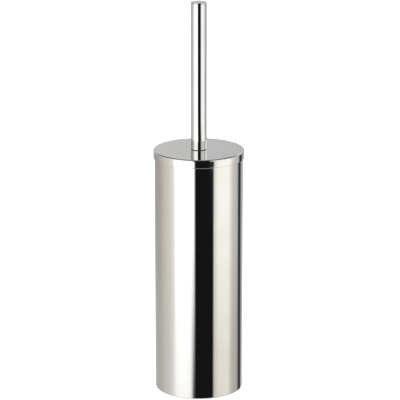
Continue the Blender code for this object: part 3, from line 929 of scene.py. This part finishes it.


# ---- studio -----------------------------------------------------------------------
# What the polished steel mirrors, by direction round the object: degrees from the
# camera's side (plus is to the right), radiance and warmth. A broad softbox stands
# left, a black flag in the middle, a bounce card right and grey walls behind. The
# stops were set, in round numbers, from grey levels read off the photograph.
SOFTBOX = 1.6
FLAG = 0.009
STUDIO_LOW = (
    (-180, 0.62, 0.0), (-155, 0.58, 0.2), (-140, 0.52, 0.4), (-120, 0.54, 0.4), (-106, 0.62, 0.4),
    (-94, 0.67, 0.4), (-83, 0.73, 0.3), (-73, 0.86, 0.2), (-63, 1.10, 0.1), (-52, 1.22, 0.1),
    (-30, 1.26, 0.0), (-22, 1.1, 0.0), (-18, 0.70, 0.0), (-14, FLAG, 0.0), (36.5, FLAG, 0.0),
    (41, 0.60, 1.0), (47, 0.75, 1.1), (55, 0.86, 1.0), (83, 0.88, 1.0), (92, 0.66, 1.0),
    (99, 0.54, 1.0), (121, 0.44, 0.7), (131, 0.04, 0.0), (144, 0.04, 0.0), (149, 0.52, -0.2),
    (160, 0.66, 0.0), (180, 0.64, 0.0),
)
STUDIO_MIDDLE = (
    (-180, 0.60, 0.0), (-155, 0.46, 0.1), (-140, 0.41, 0.8), (-120, 0.48, 1.2), (-106, 0.60, 1.3),
    (-94, 0.71, 1.3), (-83, 0.78, 1.0), (-73, 0.90, 0.5), (-68, 1.0, 0.2), (-63, SOFTBOX, 0.0),
    (-13.5, SOFTBOX, 0.0), (-11.5, 0.9, 0.0), (-8.5, FLAG, 0.0), (37, FLAG, 0.0), (41, 0.86, 0.3),
    (46, 1.04, 0.7), (54, 1.19, 0.6), (83, 1.21, 0.4), (91, 1.0, 0.6), (98, 0.76, 1.0),
    (104, 0.68, 0.6), (119, 0.60, 0.2), (127, 0.04, -3.0), (138, 0.04, -3.0), (143, 0.44, -0.2),
    (160, 0.56, 0.0), (180, 0.60, 0.0),
)
STUDIO_HIGH = (
    (-180, 0.62, 0.0), (-150, 0.54, 0.0), (-128, 0.50, 0.0), (-110, 0.56, 0.0), (-95, 0.70, 0.0),
    (-80, 0.88, 0.0), (-68, 1.15, 0.0), (-60, SOFTBOX, 0.0), (-19.5, SOFTBOX, 0.0), (-15, 0.9, 0.0),
    (-11, FLAG, 0.0), (25.5, FLAG, 0.0), (31.5, 0.85, 0.0), (40, 1.15, 0.0), (50, 1.25, 0.0),
    (66, 1.22, 0.0), (82, 1.03, 0.0), (100, 0.72, 0.0), (116, 0.44, 0.0), (134, 0.27, 0.0),
    (150, 0.38, 0.0), (163, 0.58, 0.0), (180, 0.62, 0.0),
)
STUDIO_RAISED = (
    (-180, 0.62, 0.0), (-178.6, 0.65, 0.0), (-165, 0.60, 0.0), (-140, 0.34, 0.0), (-122, 0.30, 0.1),
    (-99, 0.45, 0.1), (-78, 0.80, 0.1), (-66, 1.25, 0.1), (-58, 1.50, 0.0), (-18, 1.45, 0.0),
    (-13, FLAG, 0.0), (26, FLAG, 0.0), (34, 0.62, 0.0), (47, 0.86, 0.0), (64, 0.95, 0.0),
    (82, 0.70, 0.0), (100, 0.55, 0.0), (112, 0.80, 0.0), (120, 1.2, 0.0), (148, 1.2, 0.0),
    (164, 0.62, 0.0), (178.6, 0.575, -0.1), (180, 0.62, 0.0),
)
# Level with the object no light is brighter than this, so that from low down the
# steel stands out from the white backdrop.
LEVEL_LIMIT = 0.92
GROUND = 0.75
CEILING = 0.01
ZENITH = 0.34
# Elevations in degrees between which one band turns into the next.
GROUND_TO_LOW = (-50, -32)
LOW_TO_MIDDLE = (-22, -14.8)
MIDDLE_TO_HIGH = (-14.6, -13.6)
HIGH_TO_LEVEL = (-10, -6)
LEVEL_TO_RAISED = (11.2, 13.4)
RAISED_TO_CEILING = (27, 38)
CEILING_TO_ZENITH = (54, 61)
BACKDROP = 1.0
FILL = 0.75                        # even light that matt surfaces receive
FLOOR_RADIUS = 12
FLOOR_DROP = 0.05 * MM             # below the object's lowest point
FLOOR_GLOW = 0.75
KEY_PLACE = (-1.3, -1.6, 1.9)
KEY_SIZE = 1.2
KEY_POWER = 26


def grey(level):
    return (level, level, level)


def studio_ramp(nodes, place, stops):
    """A ramp round the object; each stop is an angle, a radiance and a warmth."""
    ramp = nodes.node("ShaderNodeValToRGB")
    elements = ramp.color_ramp.elements
    while len(elements) > 1:
        elements.remove(elements[-1])
    for i, (angle, radiance, warmth) in enumerate(stops):
        position = (angle + 180) / 360
        element = elements[0] if i == 0 else elements.new(position)
        element.position = position
        element.color = (radiance * (1 + 0.04 * warmth), radiance, radiance * (1 - 0.10 * warmth), 1)
    nodes.link(place, ramp.inputs[0])
    return ramp.outputs[0]


def build_studio():
    """The mirrored studio, plus even white light for matt surfaces and the backdrop."""
    world = bpy.data.worlds.new("studio")
    bpy.context.scene.world = world
    world.use_nodes = True
    nodes = Nodes(world.node_tree)
    split = nodes.node("ShaderNodeSeparateXYZ")
    nodes.link(nodes.node("ShaderNodeTexCoord").outputs["Generated"], split.inputs[0])
    toward_camera = nodes.math("MULTIPLY", split.outputs["Y"], -1.0)
    azimuth = nodes.math("ARCTAN2", split.outputs["X"], toward_camera)
    place = nodes.math("ADD", nodes.math("DIVIDE", azimuth, 2 * math.pi), 0.5)
    elevation = nodes.math("DEGREES", nodes.math("ARCSINE", split.outputs["Z"]))

    studio_level = [(angle, min(radiance, LEVEL_LIMIT), warmth)
                    for angle, radiance, warmth in STUDIO_HIGH]
    low, middle, high, level, raised = [
        studio_ramp(nodes, place, stops)
        for stops in (STUDIO_LOW, STUDIO_MIDDLE, STUDIO_HIGH, studio_level, STUDIO_RAISED)
    ]
    mirrored = grey(GROUND)
    for (start, end), band in (
        (GROUND_TO_LOW, low),
        (LOW_TO_MIDDLE, middle),
        (MIDDLE_TO_HIGH, high),
        (HIGH_TO_LEVEL, level),
        (LEVEL_TO_RAISED, raised),
        (RAISED_TO_CEILING, grey(CEILING)),
        (CEILING_TO_ZENITH, grey(ZENITH)),
    ):
        mirrored = nodes.mix(nodes.spread(elevation, 0, 1, start, end, smooth=True), mirrored, band)

    path = nodes.node("ShaderNodeLightPath")
    lit = nodes.mix(path.outputs["Is Diffuse Ray"], mirrored, grey(FILL))
    shown = nodes.mix(path.outputs["Is Camera Ray"], lit, grey(BACKDROP))
    nodes.link(shown, world.node_tree.nodes["Background"].inputs["Color"])


def build_floor():
    """Pale, evenly lit floor, left out of the steel's reflections."""
    pale = NodeMaterial("pale_floor", (0.9, 0.9, 0.9), 0.9)
    cloud = pale.noise(6.0, detail=3.0)
    pale.use("Base Color", pale.mix(cloud, (0.88, 0.88, 0.88), (0.92, 0.92, 0.92)))
    pale.shader.inputs["Specular IOR Level"].default_value = 0.0
    pale.shader.inputs["Emission Color"].default_value = (1, 1, 1, 1)
    pale.shader.inputs["Emission Strength"].default_value = FLOOR_GLOW
    shape = bmesh.new()
    bmesh.ops.create_circle(shape, cap_ends=True, radius=FLOOR_RADIUS, segments=64)
    mesh = mesh_from(shape, "floor")
    mesh.materials.append(pale.material)
    floor = bpy.data.objects.new("floor", mesh)
    floor.location.z = cad_bounds[0][2] - FLOOR_DROP
    floor.visible_glossy = False
    bpy.context.scene.collection.objects.link(floor)


def build_light():
    """One large soft light from the upper left front, for the matt pieces."""
    light = bpy.data.lights.new("key", "AREA")
    light.shape = "DISK"
    light.size = KEY_SIZE
    light.energy = KEY_POWER
    lamp = bpy.data.objects.new("key", light)
    lamp.location = KEY_PLACE
    aim = Vector((0, 0, AIM_HEIGHT)) - lamp.location
    lamp.rotation_euler = aim.to_track_quat("-Z", "Y").to_euler()
    lamp.visible_glossy = False
    bpy.context.scene.collection.objects.link(lamp)


def build_camera():
    camera = bpy.data.cameras.new("camera")
    camera.sensor_width = SENSOR_WIDTH
    camera.lens = LENS
    camera.clip_end = 50
    holder = bpy.data.objects.new("camera", camera)
    holder.location = (
        AXIS_OFFSET,
        -VIEW_DISTANCE * math.cos(VIEW_ELEVATION),
        AIM_HEIGHT + VIEW_DISTANCE * math.sin(VIEW_ELEVATION),
    )
    holder.rotation_euler = (math.pi / 2 - VIEW_ELEVATION, 0, 0)
    bpy.context.scene.collection.objects.link(holder)
    bpy.context.scene.camera = holder
    bpy.context.scene.view_settings.view_transform = "Standard"


# ---- the whole --------------------------------------------------------------------
build_camera()
build_studio()
build_floor()
build_light()

lid_bottom = extent("lid")[1]
shell_bottom = extent("holder_shell")[1]
shell_steel = polished_steel("shell_steel", (shell_bottom,))
lid_steel = polished_steel("lid_steel", (lid_bottom,))
handle_steel = polished_steel("handle_steel")
plain_metal = satin_steel("plain_metal")
moulded_black = black_plastic("moulded_black")
soft_black = black_rubber("soft_black")
moulded_white = white_plastic("moulded_white")
nylon = bristle_fibre("nylon")

build_holder(shell_steel, plain_metal, soft_black)
build_liner(moulded_black)
build_buffer_ring(soft_black)
build_lid(lid_steel)
build_lid_insert(moulded_black)
build_nut(plain_metal)
build_handle(handle_steel, plain_metal, soft_black)
build_stem(handle_steel, plain_metal)
build_head_washer(soft_black)
build_head_core(moulded_white)
build_side_tufts(nylon)
build_end_tufts(nylon)
